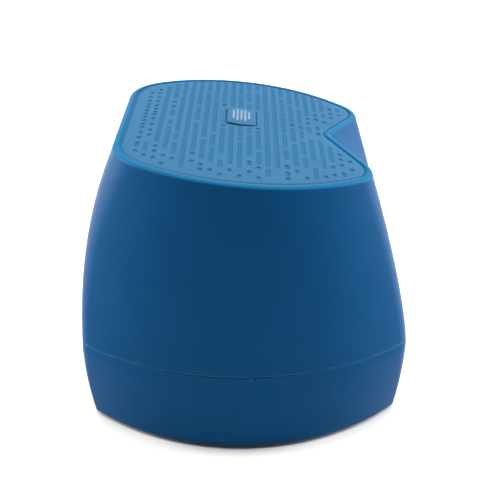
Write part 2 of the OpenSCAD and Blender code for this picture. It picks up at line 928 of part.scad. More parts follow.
module charge_tongue() {
    color(black)
        translate([plate_x + 1, plug_y - 3.3, port_z - 0.35])
            cube([board_x - 1 - plate_x - 1, 6.6, 0.7]);
}

module audio_jack() {
    color([0.13, 0.13, 0.14])
        difference() {
            union() {
                along_x(plate_x + 0.1, jack_y, port_z)
                    cylinder(r = 3, h = 4, $fn = 48);
                translate([plate_x + 3.2, jack_y - 4, port_z - 4])
                    cube([12, 8, 8]);
            }
            along_x(plate_x - 1, jack_y, port_z)
                cylinder(r = 1.78, h = 15, $fn = 48);
        }
}

module slide_switch() {
    color(steel)
        difference() {
            translate([board_x - 3.4, -17.4, port_z - 1.9])
                cube([3.4, 8.8, 3.8]);
            translate([board_x - 4.4, -15.8, port_z - 1.25])
                cube([2.4, 5.6, 2.5]);
        }
}

module slide_knob() {
    color([0.85, 0.86, 0.87])
        difference() {
            translate([plate_x - 0.9, -15.5, port_z - 0.9])
                cube([5.2, 3, 1.8]);
            for (k = [0 : 1])
                translate([plate_x - 1.2, -14.7 + k * 0.9, port_z - 2])
                    cube([0.6, 0.4, 4]);
        }
}

module light_guide() {
    color([0.9, 0.93, 0.95])
        along_x(plate_x - 0.1, lamp_y, port_z)
            cylinder(r = 1, h = 6.3);
}

upper_shell();
base_shell();
seam_gasket();
baffle_plate();
rubber_feet();
label_plate();
case_screws();
small_screws();
grille_panel();
grille_cloth();
badge_plate();
badge_mark();
driver_basket();
driver_gasket();
driver_surround();
driver_cone();
dust_cap();
driver_spider();
voice_coil();
driver_top_plate();
driver_magnet();
driver_yoke();
driver_terminals();
battery_cell();
battery_cradle();
battery_leads();
battery_header();
main_board();
board_chips();
power_coils();
capacitors();
radio_module();
speaker_leads();
speaker_header();
switch_bodies();
key_mode();
key_minus();
key_play();
key_plus();
plunger_mode();
plunger_minus();
plunger_play();
plunger_plus();
port_plate();
charge_port();
charge_tongue();
audio_jack();
slide_switch();
slide_knob();
light_guide();
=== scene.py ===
import json
import math

import bmesh
import bpy
import numpy as np
from mathutils import Matrix, Vector, geometry


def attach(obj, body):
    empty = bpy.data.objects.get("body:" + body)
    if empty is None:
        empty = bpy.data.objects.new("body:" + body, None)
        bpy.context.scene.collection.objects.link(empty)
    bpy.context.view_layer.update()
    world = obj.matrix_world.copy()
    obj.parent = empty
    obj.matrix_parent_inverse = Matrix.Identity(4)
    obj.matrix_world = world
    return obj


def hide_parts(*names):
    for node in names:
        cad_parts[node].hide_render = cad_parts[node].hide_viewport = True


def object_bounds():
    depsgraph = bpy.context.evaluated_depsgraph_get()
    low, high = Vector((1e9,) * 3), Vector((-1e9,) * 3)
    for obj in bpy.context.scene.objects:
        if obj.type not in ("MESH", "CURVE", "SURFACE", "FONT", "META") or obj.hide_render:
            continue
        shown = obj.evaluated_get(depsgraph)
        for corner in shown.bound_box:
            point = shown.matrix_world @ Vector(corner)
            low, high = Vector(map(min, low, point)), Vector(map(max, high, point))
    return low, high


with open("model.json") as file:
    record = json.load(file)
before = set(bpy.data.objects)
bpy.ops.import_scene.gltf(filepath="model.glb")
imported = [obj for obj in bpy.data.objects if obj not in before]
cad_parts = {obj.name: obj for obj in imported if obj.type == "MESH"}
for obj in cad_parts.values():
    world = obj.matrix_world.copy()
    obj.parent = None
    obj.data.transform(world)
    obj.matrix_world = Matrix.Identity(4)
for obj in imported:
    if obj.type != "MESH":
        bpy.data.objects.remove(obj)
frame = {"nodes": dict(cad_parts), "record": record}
cad_low, cad_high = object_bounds()
nodes = frame["nodes"]

# ---------------------------------------------------------------- sizes in millimetres, as in the CAD
# x runs from the back wall (-) to the notch (+), y across, z up from the floor
MM = 0.001
FOOT = 1.5
FACE_HEIGHT = 100.2
FACE_SLOPE = 0.09
CROWN_ALONG = 1.6
CROWN_ACROSS = 0.5
RIM = 1.5  # radius of the wall's top edge
WALL = 2.5
WAIST = FOOT + 27.6
SEAM = FOOT + 30.5
SEAM_GAP = 0.2
FLOOR = FOOT + WALL
EDGE_TOP = FOOT + FACE_HEIGHT - RIM
RISE = EDGE_TOP - WAIST
SEAM_U = (SEAM - WAIST) / RISE
RIM_IN = RIM + 0.8  # inner edge of the flat rim
PANEL_IN = RIM_IN + 0.7  # edge of the panel, across the groove
PANEL_THICK = 0.6
PANEL_DROP = 0.2
LEDGE = PANEL_THICK + 0.7
LEDGE_THICK = 1.6
GROOVE = 0.42
RIM_LIP = (0.55, 0.34)  # rounding of the rim's inner edge, inwards and down
SEAM_LIP, FOOT_LIP = 0.45, 0.3
FLANK_X = -2.8
PITCH = 3.0
SLOT = 1.4
SLOT_CORNER = 0.5
SHORT_SLOT = 3.5
CLOTH_THICK = 0.4
CLOTH_DEPTH = (0.15, 0.28)  # below the panel's top, in long slots and in short slots and holes
BADGE = (-2.7, 6.0, 10.0, 14.6)  # centre x and y, size along and across the body
BADGE_CORNER, BADGE_GAP = 0.7, 0.4
BADGE_LEAN = math.tan(math.radians(7))
BADGE_TOP = 0.6
BAR_LENGTHS = (8.0, 11.4, 9.2, 11.0, 7.0)
BAR_PITCH, BAR_WIDTH, BAR_SHIFT = 1.35, 0.75, 0.9
CASE_POSTS = [(-46.5, 27), (46, 23.5)]
BAFFLE_POSTS = [(-34, 32), (33, 30)]
CASE_BOSS, CASE_BORE = 3.6, 1.4  # radii, from here down to FOOT_PAD
BAFFLE_BOSS, BAFFLE_BORE = 3.0, 1.1
BASE_BOSS, BASE_BORE, SCREW_HEAD = 4.4, 1.7, 3.2
FOOT_PAD = 6.15
RIB = (1.8, 11.2)
TONGUE_RISE, TONGUE_FRONT, TONGUE_BACK = 3, WALL + 0.2, WALL + 1.6
DRIVER_Z = 82.8
KEY_Z, KEY_PITCH, KEY_HALF = 45.0, 11.0, 1.5
KEY_FRONT = -57.95
KEY_SIZE = (9.3, 6.1, 3.0)  # across, up, corner
KEY_GAP = 0.3
PORT_Z = 17.5
PORT_SIZE = (40.3, 15.8, 1.0)
BOARD_X = -48.1
NIB = (1.7, 52.1, SEAM - 0.4)
NIB_RADIUS = 0.6
LINES = (8, 12, 44, 12, 18, 12)  # points in half an outline: back, corner, flank, corner, notch side, root
LIP = [math.radians(a) for a in (0, 30, 60, 90)]  # steps round a rounded lip

# One row per column: round holes by their middle, slots by both ends, across the body
SLOTS = {
    -12: [-29, [-25.5, -22], -18, -13.5, -9, -6, -2.5, 1, 4, 7, 10.5, 13.5, 17, 21.5, 26],
    -11: [-32, [-28.5, -22], -15.5, -11, -6, -0.5, 3.5, 6, 9, 12.5, 17, 21.5, 26, 30],
    -10: [-33.5, -28.5, -24.5, [-21, 34.5]],
    -9: [-37.5, -31.5, [-26.5, -7.5], [-5, -1], [3, 8.5], [11, 14], [16, 18.5], [21, 38]],
    -8: [-33.5, [-29.5, -21], [-19, -13.5], [-11.5, 23.5], [25.5, 30], [31.5, 39.5]],
    -7: [[-39.5, 41.5]],
    -6: [-34.5, [-30, -27.5], [-26, -3], [0.5, 13], [15.5, 43]],
    -5: [[-41, -39], [-38, -35.5], [-32.5, -17], [-14.5, 29], [31, 43.5]],
    -4: [-40, [-34.5, -23], [-21, -12], [-10, 22], [23.5, 44]],
    -3: [-42.5, [-37, -32.5], [-27.5, -5.5], -3.2, [16, 18.5], [19.5, 44]],
    -2: [-39, [-34.5, -3], [16, 45]],
    -1: [-42.5, [-37, -17.5], [-15.5, -3], [16, 29.5], [31, 45]],
    0: [-39, [-34, -31], [-27, -10], [-8, -3], [15.5, 20.5], [23.5, 34], [36, 44]],
    1: [-42.5, -35.5, [-33, -24], [-21, -5.2], -3.2, [15.5, 34.5], [37.5, 44.5]],
    2: [[-41, -36], [-34, 44]],
    3: [[-34.5, 43.5]],
    4: [[-42, -40], [-39, -36], [-34, -31], [-27, -19.5], [-17, -6], [-4, 15], [17, 30], [32, 43]],
    5: [-35, [-31.5, -13.5], [-11.5, 1], [2.5, 5.5], [7, 23], [25, 42]],
    6: [-39, [-31.5, -24], [-21, -10], [-7, -1], [1, 4], [6, 21], [23.5, 41]],
    7: [[-38.5, -31], [-25, -7.5], [-1, 4], [7, 9], 12.5, [15.5, 39.5]],
    8: [-36, [-30, -7], [-3, 0], [2.5, 6], [11, 14], [15.5, 18.5], [21, 38]],
    9: [-34, -28, [-24, -11.5], [10, 12.5], [16, 20.5], [22.5, 35.5]],
    10: [[-34, -31], -25.5, -21, -17, 17, [20.5, 22.5], [24.5, 28]],
    11: [[-29, -27], -21.5, [20.5, 22], [24.5, 28.5]],
}


# ---------------------------------------------------------------- the body's outline at any height
def mix(a, b, t, p=1.0):
    return a + (b - a) * t ** p


def upper(u):
    """Above the waist, from 0 there to 1 at the face: back, front, half width, flank radius,
    notch depth and half width, then the back corner's, front corner's and notch root's radii."""
    return [mix(-58, -44, u, 2.27), mix(58, 45.4, u, 1.44), mix(52.2, 49.2, u, 1.29), mix(91.8, 59.3, u),
            mix(0.2, 17, u), mix(34.5, 32.6, u), mix(6.4, 19.6, u), mix(9.2, 11.6, u), mix(20, 2.8, u)]


def lower(v):
    """The same below the waist, from 0 there to 1 at the foot."""
    return [mix(-58, -54.9, v, 2.1), mix(58, 55.7, v, 2.17), mix(52.2, 51.3, v, 2.1), mix(91.8, 82.9, v),
            0.2, 34.5, mix(6.4, 2, v), mix(9.2, 2, v), 20]


def level(z):
    return lower((WAIST - z) / (WAIST - FOOT)) if z < WAIST else upper((z - WAIST) / RISE)


def arc(cx, cy, r, a0, a1, n):
    turns = [a0 + (a1 - a0) * i / n for i in range(n)]
    return [(cx + r * math.cos(a), cy + r * math.sin(a)) for a in turns]


def line(x0, y0, x1, y1, n):
    return [(x0 + (x1 - x0) * i / n, y0 + (y1 - y0) * i / n) for i in range(n)]


def outline(shape, d):
    """Closed loop of one level, moved inwards by d."""
    back, front, half, flank, notch, notch_half, r_back, r_front, root_r = shape
    back += d
    r = flank - d
    yc = half - flank
    rb, rf, rn = max(r_back - d, 0.4), max(r_front - d, 0.4), root_r + d
    # direction of the notch's side, and a point on it
    n = math.hypot(notch, notch_half)
    ux, uy = notch / n, notch_half / n
    px, py = front - notch - uy * d, ux * d
    # back corner's centre: rb off the back wall and rb inside the flank's circle
    xb = back + rb
    yb = yc + math.sqrt((r - rb) ** 2 - (xb - FLANK_X) ** 2)
    a1 = math.atan2(yb - yc, xb - FLANK_X)
    # front corner's centre: rf off the notch's side and rf inside the flank's circle
    ex, ey = px - uy * rf - FLANK_X, py + ux * rf - yc
    b = ex * ux + ey * uy
    t = -b + math.sqrt(max(b * b - (ex * ex + ey * ey - (r - rf) ** 2), 0))
    fx, fy = px - uy * rf + t * ux, py + ux * rf + t * uy
    a2 = math.atan2(fy - yc, fx - FLANK_X)
    # notch root's centre, on the axis
    root = px + (rn - py * ux) / uy
    half_line = (line(back, 0, back, yb, LINES[0]) + arc(xb, yb, rb, math.pi, a1, LINES[1])
                 + arc(FLANK_X, yc, r, a1, a2, LINES[2])
                 + arc(fx, fy, rf, a2, math.atan2(-ux, uy), LINES[3])
                 + line(fx + uy * rf, fy - ux * rf, root - uy * rn, ux * rn, LINES[4])
                 + arc(root, 0, rn, math.atan2(ux, -uy), math.pi, LINES[5]) + [(root - rn, 0)])
    return np.array(half_line + [(x, -y) for x, y in half_line[-2:0:-1]])


def face_z(x, y):
    """Height of the sloping, crowned face."""
    return (FOOT + FACE_HEIGHT - FACE_SLOPE * x - CROWN_ALONG * np.abs(x / 40) ** 2
            - CROWN_ACROSS * np.abs(y / 42) ** 3.5)


def at(points, z):
    return np.column_stack([points, np.broadcast_to(z, len(points))])


def flat_ring(z, d):
    """Outline at height z, moved inwards by d."""
    return at(outline(level(z), d), z)


def wall_ring(w, d):
    """Outline at w of the way from the seam to the face's edge, moved inwards by d."""
    edge = outline(upper(1), 0)
    points = outline(upper(SEAM_U + (1 - SEAM_U) * w), d)
    rise = face_z(edge[:, 0], edge[:, 1]) - RIM - SEAM - SEAM_GAP
    return at(points, SEAM + SEAM_GAP + w * rise)


def rim_ring(d, dz):
    """The face's edge, moved inwards by d and up by dz."""
    edge = outline(upper(1), 0)
    return at(outline(upper(1), d), face_z(edge[:, 0], edge[:, 1]) + dz)


# ---------------------------------------------------------------- meshes
def strip(a, b, n):
    """Quads between two rings of n points, which start at a and at b."""
    return [(a + i, a + (i + 1) % n, b + (i + 1) % n, b + i) for i in range(n)]


def new_object(name, points, faces):
    mesh = bpy.data.meshes.new(name)
    mesh.from_pydata([tuple(float(c) * MM for c in p) for p in points], [], faces)
    mesh.validate()
    obj = bpy.data.objects.new(name, mesh)
    bpy.context.scene.collection.objects.link(obj)
    smooth(obj)
    return obj


def smooth(obj, angle=32):
    mesh = obj.data
    mesh.polygons.foreach_set("use_smooth", [True] * len(mesh.polygons))
    mesh.set_sharp_from_angle(angle=math.radians(angle))
    mesh.update()


def outward(obj):
    """Welds the mesh and turns its faces outwards."""
    bm = bmesh.new()
    bm.from_mesh(obj.data)
    bmesh.ops.remove_doubles(bm, verts=bm.verts, dist=1e-6)
    bmesh.ops.recalc_face_normals(bm, faces=bm.faces)
    bm.to_mesh(obj.data)
    bm.free()
    return obj


def stack(name, rings, closed=False):
    """Skin over rings of equal length: a tube closed on itself, or a solid with flat ends."""
    n, m = len(rings[0]), len(rings)
    points = np.concatenate(rings)
    faces = []
    for k in range(m if closed else m - 1):
        faces += strip(k * n, ((k + 1) % m) * n, n)
    if not closed:
        faces += [tuple(range(n)), tuple(range(m * n - 1, (m - 1) * n - 1, -1))]
    return outward_smooth(new_object(name, points, faces))


def outward_smooth(obj, angle=32):
    outward(obj)
    smooth(obj, angle)
    return obj


def cut(obj, tool, operation="DIFFERENCE"):
    """Cuts the tool from the object, or joins it on, and uses the tool up."""
    mod = obj.modifiers.new("cut", "BOOLEAN")
    mod.operation = operation
    mod.solver = "EXACT"
    mod.object = tool
    dg = bpy.context.evaluated_depsgraph_get()
    mesh = bpy.data.meshes.new_from_object(obj.evaluated_get(dg))
    obj.modifiers.clear()
    obj.data = mesh
    bpy.data.objects.remove(tool)
    smooth(obj)


def joined(name, parts):
    """One object from several (points, faces) solids."""
    points, faces, start = [], [], 0
    for p, f in parts:
        points += list(p)
        faces += [tuple(i + start for i in face) for face in f]
        start += len(p)
    return outward(new_object(name, points, faces))


def prism(loop, put, low, high):
    """Loop of (a, b) extruded from low to high; put turns (a, b, c) into x, y, z."""
    n = len(loop)
    points = [put(a, b, c) for c in (low, high) for a, b in loop]
    return points, strip(0, n, n) + [tuple(range(n)), tuple(range(2 * n - 1, n - 1, -1))]


def rounded(w, h, r, n=6):
    """Rectangle with rounded corners, centred on 0."""
    loop = []
    for sx, sy, a0 in ((1, 1, 0), (-1, 1, 90), (-1, -1, 180), (1, -1, 270)):
        for k in range(n + 1):
            a = math.radians(a0 + 90 * k / n)
            loop.append((sx * (w / 2 - r) + r * math.cos(a), sy * (h / 2 - r) + r * math.sin(a)))
    return loop


def circle(r, n=32):
    return [(r * math.cos(2 * math.pi * k / n), r * math.sin(2 * math.pi * k / n)) for k in range(n)]


def up_z(x, y):
    return lambda a, b, c: (x + a, y + b, c)


def along_x(y, z):
    return lambda a, b, c: (c, y + a, z + b)


def four(posts):
    """Both mirrored places of every post."""
    return [(x, s * y) for x, y in posts for s in (-1, 1)]


# ---------------------------------------------------------------- materials
def nodes_of(mat):
    mat.use_nodes = True
    tree = mat.node_tree
    return tree, tree.nodes["Principled BSDF"]


def add(tree, kind, **values):
    """New shader node, with its settings and the constants on its sockets."""
    node = tree.nodes.new(kind)
    for k, v in values.items():
        if hasattr(node, k):
            setattr(node, k, v)
        else:
            node.inputs[k].default_value = v
    return node


def plastic(name, colour, rough=0.5, grain=5200, depth=0.03, variation=0.06, wear=0.0, metallic=0.0,
            spec=0.5, sheen=0.0, coat=0.0, sheen_rough=0.4, sheen_tint=(1, 1, 1, 1), stretch=(1, 1, 1),
            top_light_colour=None):
    """Moulded or sheet surface: fine grain, faint mottling, uneven gloss and lighter worn edges.
    The last argument is a lighter colour for faces that look up: painted top light, the overhead light on the
    rim and the seam's edge put into the colour."""
    mat = bpy.data.materials.new(name)
    tree, bsdf = nodes_of(mat)
    link = tree.links.new
    coord = add(tree, "ShaderNodeTexCoord")
    mapping = add(tree, "ShaderNodeMapping")
    mapping.inputs["Scale"].default_value = stretch
    link(coord.outputs["Object"], mapping.inputs["Vector"])
    fine = add(tree, "ShaderNodeTexNoise", Scale=grain, Detail=3.0, Roughness=0.6)
    broad = add(tree, "ShaderNodeTexNoise", Scale=60.0, Detail=4.0, Roughness=0.55)
    for tex in (fine, broad):
        link(mapping.outputs["Vector"], tex.inputs["Vector"])
    ramp = add(tree, "ShaderNodeValToRGB")
    ramp.color_ramp.elements[0].position, ramp.color_ramp.elements[1].position = 0.3, 0.72
    for e, k in zip(ramp.color_ramp.elements, (1 - variation, 1 + variation)):
        e.color = tuple(min(c * k, 1.0) for c in colour) + (1,)
    link(broad.outputs["Fac"], ramp.inputs["Fac"])
    base = ramp.outputs["Color"]
    if wear:
        geo = add(tree, "ShaderNodeNewGeometry")
        edge = add(tree, "ShaderNodeMapRange")
        for k, v in (("From Min", 0.53), ("From Max", 0.62), ("To Min", 0.0), ("To Max", wear)):
            edge.inputs[k].default_value = v
        link(geo.outputs["Pointiness"], edge.inputs["Value"])
        worn = add(tree, "ShaderNodeMix", data_type="RGBA")  # sockets 6 and 7 are its two colours
        link(edge.outputs["Result"], worn.inputs[0])
        link(base, worn.inputs[6])
        worn.inputs[7].default_value = tuple(min(c * 1.6 + 0.05, 1) for c in colour) + (1,)
        base = worn.outputs[2]
    # painted top light: faces that look up blend towards a lighter colour, as if lit from above
    if top_light_colour:
        geo = add(tree, "ShaderNodeNewGeometry")
        split = add(tree, "ShaderNodeSeparateXYZ")
        top_light_mask = add(tree, "ShaderNodeMapRange")
        for k, v in (("From Min", 0.3), ("From Max", 0.68), ("To Min", 0.0), ("To Max", 0.95)):
            top_light_mask.inputs[k].default_value = v
        link(geo.outputs["Normal"], split.inputs["Vector"])
        link(split.outputs["Z"], top_light_mask.inputs["Value"])
        top_lit_mix = add(tree, "ShaderNodeMix", data_type="RGBA")
        link(top_light_mask.outputs["Result"], top_lit_mix.inputs[0])
        link(base, top_lit_mix.inputs[6])
        top_lit_mix.inputs[7].default_value = top_light_colour + (1,)
        base = top_lit_mix.outputs[2]
    link(base, bsdf.inputs["Base Color"])
    gloss = add(tree, "ShaderNodeMapRange")
    gloss.inputs["To Min"].default_value = max(rough - 0.06, 0.05)
    gloss.inputs["To Max"].default_value = min(rough + 0.07, 1.0)
    link(fine.outputs["Fac"], gloss.inputs["Value"])
    link(gloss.outputs["Result"], bsdf.inputs["Roughness"])
    bump = add(tree, "ShaderNodeBump", Strength=0.35, Distance=depth * MM)
    link(fine.outputs["Fac"], bump.inputs["Height"])
    link(bump.outputs["Normal"], bsdf.inputs["Normal"])
    bsdf.inputs["Metallic"].default_value = metallic
    bsdf.inputs["Specular IOR Level"].default_value = spec
    bsdf.inputs["Sheen Weight"].default_value = sheen
    bsdf.inputs["Sheen Roughness"].default_value = sheen_rough
    bsdf.inputs["Sheen Tint"].default_value = sheen_tint
    bsdf.inputs["Coat Weight"].default_value = coat
    return mat


def woven(name, colour, pitch=0.34, depth=0.12, rough=0.85):
    """Cloth: crossing threads as a colour and a bump."""
    mat = bpy.data.materials.new(name)
    tree, bsdf = nodes_of(mat)
    link = tree.links.new
    coord = add(tree, "ShaderNodeTexCoord")
    waves = []
    for axis in ("X", "Y"):
        wave = add(tree, "ShaderNodeTexWave", wave_type="BANDS", bands_direction=axis,
                   Scale=1 / (pitch * MM) / 20 * math.pi, Distortion=0.6, Detail=2.0)
        link(coord.outputs["Object"], wave.inputs["Vector"])
        waves.append(wave)
    both = add(tree, "ShaderNodeMath", operation="MULTIPLY")
    for i, wave in enumerate(waves):
        link(wave.outputs["Fac"], both.inputs[i])
    ramp = add(tree, "ShaderNodeValToRGB")
    ramp.color_ramp.elements[0].color = tuple(c * 0.62 for c in colour) + (1,)
    ramp.color_ramp.elements[1].color = tuple(min(c * 1.2, 1) for c in colour) + (1,)
    link(both.outputs["Value"], ramp.inputs["Fac"])
    link(ramp.outputs["Color"], bsdf.inputs["Base Color"])
    bump = add(tree, "ShaderNodeBump", Strength=0.6, Distance=depth * MM)
    link(both.outputs["Value"], bump.inputs["Height"])
    link(bump.outputs["Normal"], bsdf.inputs["Normal"])
    bsdf.inputs["Roughness"].default_value = rough
    bsdf.inputs["Specular IOR Level"].default_value = 0.2
    return mat


PALE = (0.62, 0.78, 0.95, 1)
# plastic: colour, roughness, grain scale, grain depth, mottling, wear
# woven: colour, thread pitch, thread depth
MATS = {
    # case_blue's up-facing faces are lightened: painted top light on the rim and the seam's edge
    "case_blue": plastic("case_blue", (0.0003, 0.046, 0.132), 0.46, 5600, 0.03, 0.05, 0.10, spec=0.03,
                         sheen=0.22, sheen_rough=0.28, sheen_tint=(1, 0.90, 0.66, 1),
                         top_light_colour=(0.006, 0.091, 0.193)),
    "panel_blue": plastic("panel_blue", (0.0165, 0.086, 0.172), 0.55, 5200, 0.035, 0.05, 0.03, spec=0.12,
                          sheen=0.05, sheen_rough=0.4, sheen_tint=PALE),
    "grille_cloth": woven("grille_cloth", (0.010, 0.097, 0.208)),
    "badge_white": plastic("badge_white", (0.14, 0.18, 0.25), 0.4, 6000, 0.01, 0.03, spec=0.2),
    "key_blue": plastic("key_blue", (0.004, 0.066, 0.160), 0.6, 4200, 0.03, 0.05, spec=0.2, sheen=0.1),
    "black_plastic": plastic("black_plastic", (0.022, 0.023, 0.025), 0.45, 3800, 0.05, 0.12),
    "gasket_blue": plastic("gasket_blue", (0.0015, 0.055, 0.140), 0.7, 2600, 0.06, 0.1),
    "black_rubber": plastic("black_rubber", (0.016, 0.017, 0.019), 0.8, 2600, 0.06, 0.15, sheen=0.25),
    "foam_black": plastic("foam_black", (0.02, 0.02, 0.021), 0.95, 1500, 0.3, 0.2, sheen=0.4),
    "label_grey": plastic("label_grey", (0.42, 0.43, 0.45), 0.38, 3000, 0.01, 0.04),
    "zinc_steel": plastic("zinc_steel", (0.62, 0.63, 0.66), 0.3, 2600, 0.02, 0.08, metallic=1.0),
    "black_steel": plastic("black_steel", (0.03, 0.031, 0.034), 0.42, 3000, 0.04, 0.1, coat=0.2),
    "cone_paper": plastic("cone_paper", (0.045, 0.046, 0.05), 0.78, 1900, 0.12, 0.2),
    "spider_cloth": woven("spider_cloth", (0.62, 0.40, 0.13), 0.5, 0.1),
    "copper": plastic("copper", (0.74, 0.34, 0.16), 0.32, 1200, 0.08, 0.15, metallic=1.0,
                      stretch=(0.05, 0.05, 6)),
    "ferrite": plastic("ferrite", (0.055, 0.055, 0.058), 0.6, 1400, 0.08, 0.2),
    "cell_wrap": plastic("cell_wrap", (0.09, 0.33, 0.16), 0.25, 700, 0.02, 0.05, coat=0.4),
    "lead_sleeve": plastic("lead_sleeve", (0.30, 0.02, 0.02), 0.42, 2600, 0.02, 0.08),
    "header_cream": plastic("header_cream", (0.78, 0.73, 0.60), 0.45, 3400, 0.02, 0.06),
    "board_green": plastic("board_green", (0.012, 0.16, 0.07), 0.32, 900, 0.06, 0.3, coat=0.3),
    "chip_black": plastic("chip_black", (0.02, 0.02, 0.021), 0.55, 4000, 0.03, 0.1),
    "can_metal": plastic("can_metal", (0.74, 0.75, 0.77), 0.28, 2400, 0.02, 0.05, metallic=1.0),
    "tin_shield": plastic("tin_shield", (0.68, 0.69, 0.71), 0.24, 1800, 0.03, 0.08, metallic=1.0),
    "plunger_ivory": plastic("plunger_ivory", (0.34, 0.33, 0.29), 0.42, 3000, 0.02, 0.05),
    "light_pipe": plastic("light_pipe", (0.26, 0.30, 0.33), 0.3, 2000, 0.01, 0.03, coat=0.5),
}


def place(obj, body, slot, *replaced):
    """Gives a piece the material of its slot and the body it rides on, and hides the CAD nodes it stands for.
    """
    obj.data.materials.clear()
    obj.data.materials.append(MATS[slot])
    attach(obj, body)
    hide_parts(*replaced)


# Every CAD node takes the material of its slot
slot_of = {s["node"]: s.get("material_slot", s["node"]) for s in frame["record"]["subparts"]}
for name, obj in nodes.items():
    for i in range(max(len(obj.material_slots), 1)):
        if not obj.material_slots:
            obj.data.materials.append(None)
        obj.material_slots[i].material = MATS[slot_of[name]]


# ---------------------------------------------------------------- upper shell
def build_upper():
    """Wall, rolled rim, groove and ledge as one skin, with its bosses, ribs and key holes."""
    quarter = [math.radians(a) for a in (12, 24, 36, 48, 60, 72, 84, 90)]
    rings = [wall_ring(0, 0.22), wall_ring(0.003, 0.05)]
    rings += [wall_ring(w, 0) for w in np.linspace(0.008, 1, 46)]
    rings += [rim_ring(RIM * (1 - math.cos(a)), RIM * (math.sin(a) - 1)) for a in quarter]
    rings += [rim_ring(RIM_IN - RIM_LIP[0] * (1 - math.sin(a)), -RIM_LIP[1] * (1 - math.cos(a))) for a in LIP]
    rings.append(rim_ring(RIM_IN, -GROOVE))
    rings += [rim_ring(PANEL_IN - 0.02, dz) for dz in (-GROOVE, -LEDGE)]
    rings += [rim_ring(RIM_IN + 3, dz) for dz in (-LEDGE, -LEDGE - LEDGE_THICK)]
    rings += [wall_ring(w, WALL) for w in (0.88, 0.74, 0.6, 0.45, 0.3, 0.15, 0.05, 0)]
    shell = stack("case_upper", rings, closed=True)
    solids, holes = [], []
    for x, y in four(CASE_POSTS):
        solids.append(prism(circle(CASE_BOSS), up_z(x, y), SEAM + 0.8, SEAM + 15.8))
        holes.append(prism(circle(CASE_BORE), up_z(x, y), SEAM, SEAM + 11))
    for x, y in four(BAFFLE_POSTS):
        under_face = float(face_z(x, y)) - LEDGE - 0.5
        solids.append(prism(circle(BAFFLE_BOSS), up_z(x, y), DRIVER_Z - 0.8, under_face))
        holes.append(prism(circle(BAFFLE_BORE), up_z(x, y), DRIVER_Z - 2, DRIVER_Z + 5.5))
    for k in range(4):
        holes.append(prism(key_outline(-KEY_GAP), along_x((k - KEY_HALF) * KEY_PITCH, KEY_Z), -64, -50))
    cut(shell, joined("bosses", solids), "UNION")
    cut(shell, joined("holes", holes))
    for x, y in CASE_POSTS:
        for s in (-1, 1):
            rib = prism(rounded(*RIB, 0.2, 1), up_z(x, s * (y + RIB[1] / 2)), SEAM + 0.8, SEAM + 14.8)
            cut(shell, joined("rib", [rib]), "UNION")
    place(shell, "case", "case_blue", "upper_shell")


def nib(side):
    """Small ball at the parting line, as points and faces."""
    across, turns = 16, np.linspace(0.25, math.pi - 0.25, 9)
    around = np.linspace(0, 2 * math.pi, across, endpoint=False)
    points = [(NIB[0] + NIB_RADIUS * math.sin(t) * math.cos(a),
               side * NIB[1] + NIB_RADIUS * math.sin(t) * math.sin(a),
               NIB[2] + NIB_RADIUS * math.cos(t)) for t in turns for a in around]
    last = (len(turns) - 1) * across
    faces = [f for k in range(len(turns) - 1) for f in strip(k * across, (k + 1) * across, across)]
    return points, faces + [tuple(range(across)), tuple(range(last + across - 1, last - 1, -1))]


def build_base():
    """Lower tub with its tongue, posts, board rails and nibs, foot and label pockets and port opening."""
    rings = [flat_ring(FOOT + FOOT_LIP * (1 - math.sin(a)), FOOT_LIP * (1 - math.cos(a)))
             for a in reversed(LIP)]
    rings += [flat_ring(z, 0) for z in np.linspace(FOOT + 2.4, SEAM - 0.9, 22)]
    rings += [flat_ring(SEAM - SEAM_GAP - SEAM_LIP * (1 - math.sin(a)), SEAM_LIP * (1 - math.cos(a)))
              for a in LIP]
    rings += [flat_ring(z, TONGUE_FRONT) for z in (SEAM - SEAM_GAP, SEAM + TONGUE_RISE)]
    rings += [flat_ring(z, TONGUE_BACK) for z in (SEAM + TONGUE_RISE, SEAM - 5)]
    rings += [flat_ring(z, WALL) for z in (SEAM - 7, FOOT + 15, FOOT + 8, FLOOR + 1.5)]
    rings.append(flat_ring(FLOOR, WALL + 1.5))
    shell = stack("case_base", rings)

    corners = four(CASE_POSTS)
    posts = [prism(circle(BASE_BOSS), up_z(x, y), FLOOR - 0.5, SEAM + 0.3) for x, y in corners]
    rails = [prism(rounded(8, 3.6, 0.3, 2), up_z(-47.8, s * 21.8), FLOOR - 0.5, FLOOR + 21.5)
             for s in (-1, 1)]
    for part in (posts, rails, [nib(s) for s in (-1, 1)]):
        cut(shell, joined("bosses", part), "UNION")
    cut(shell, joined("bores", [prism(circle(BASE_BORE), up_z(x, y), FOOT, 60) for x, y in corners]))
    cut(shell, joined("heads", [prism(circle(SCREW_HEAD), up_z(x, y), FOOT + 0.3, 8) for x, y in corners]))
    pockets = [prism(circle(FOOT_PAD, 48), up_z(x, y), -1, FOOT + 0.7) for x, y in corners]
    pockets.append(prism(rounded(50, 32, 1, 4), up_z(0, 0), FOOT - 1, FOOT + 0.4))
    pockets.append(prism(rounded(*PORT_SIZE, 6), along_x(0, PORT_Z), -62, -53))
    cut(shell, joined("pockets", pockets))
    board = [(BOARD_X - 0.1, -20.6), (BOARD_X + 1.7, -20.6), (BOARD_X + 1.7, 20.6), (BOARD_X - 0.1, 20.6)]
    cut(shell, joined("slot", [prism(board, up_z(0, 0), FLOOR + 4.9, FLOOR + 44.9)]))
    place(shell, "case", "case_blue", "base_shell")


